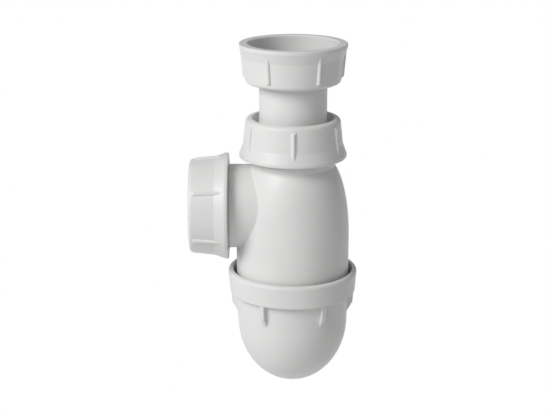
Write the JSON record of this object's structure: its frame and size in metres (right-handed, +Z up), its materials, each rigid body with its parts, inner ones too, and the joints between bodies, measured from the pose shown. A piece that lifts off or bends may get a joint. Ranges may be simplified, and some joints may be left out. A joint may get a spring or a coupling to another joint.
{
  "type": "basin trap",
  "caption": "Telescopic bottle trap for a wash basin, with union nuts, a side outlet and a screwed cleaning cup.",
  "frame": {"origin": "centre of the inlet washer's upper face, on the trap's vertical axis, where the basin waste seats", "axes": "+Z up along the inlet axis, towards the basin; the outlet points along -X, towards the wall"},
  "size_m": [0.0802, 0.062, 0.1666],
  "materials": {
    "white_plastic": "satin moulded polypropylene, white",
    "ring_plastic": "hard moulded polyethylene, off-white",
    "seal_rubber": "black moulded rubber, matt"
  },
  "bodies": {
    "trap_body": {"body": "white_plastic", "dip_tube": "white_plastic", "neck_seal": "seal_rubber", "outlet_seal": "seal_rubber"},
    "sliding_tube": {"inlet_tube": "white_plastic", "inlet_washer": "seal_rubber"},
    "inlet_union": {"inlet_nut": "white_plastic"},
    "neck_ring_carrier": {"neck_slip_ring": "ring_plastic"},
    "neck_union": {"neck_nut": "white_plastic"},
    "outlet_ring_carrier": {"outlet_slip_ring": "ring_plastic"},
    "outlet_union": {"outlet_nut": "white_plastic"},
    "cup_seal_carrier": {"cup_seal": "seal_rubber"},
    "cleaning_cup": {"cup": "white_plastic"}
  },
  "joints": [
    {"name": "tube_slide", "type": "slide", "parent": "trap_body", "child": "sliding_tube", "axis": [0, 0, 1], "range_m": [-0.008, 0.035]},
    {"name": "inlet_nut_spin", "type": "hinge", "parent": "sliding_tube", "child": "inlet_union", "pos_m": [0, 0, 0], "axis": [0, 0, 1], "continuous": true},
    {"name": "neck_nut_rise", "type": "slide", "parent": "trap_body", "child": "neck_ring_carrier", "axis": [0, 0, 1], "range_m": [0, 0.008]},
    {"name": "neck_nut_turn", "type": "hinge", "parent": "neck_ring_carrier", "child": "neck_union", "pos_m": [0, 0, -0.0335], "axis": [0, 0, 1], "range_deg": [0, 1247]},
    {"name": "outlet_nut_travel", "type": "slide", "parent": "trap_body", "child": "outlet_ring_carrier", "axis": [-1, 0, 0], "range_m": [0, 0.008]},
    {"name": "outlet_nut_turn", "type": "hinge", "parent": "outlet_ring_carrier", "child": "outlet_union", "pos_m": [-0.0411, 0, -0.0686], "axis": [-1, 0, 0], "range_deg": [0, 1247]},
    {"name": "cup_drop", "type": "slide", "parent": "trap_body", "child": "cup_seal_carrier", "axis": [0, 0, -1], "range_m": [0, 0.009]},
    {"name": "cup_turn", "type": "hinge", "parent": "cup_seal_carrier", "child": "cleaning_cup", "pos_m": [0, 0, -0.107], "axis": [0, 0, -1], "range_deg": [0, 1079]}
  ],
  "couplings": [
    {"joint": "neck_nut_rise", "follows": "neck_nut_turn", "m_per_rad": 0.00036749},
    {"joint": "outlet_nut_travel", "follows": "outlet_nut_turn", "m_per_rad": 0.00036749},
    {"joint": "cup_drop", "follows": "cup_turn", "m_per_rad": 0.00047746}
  ]
}
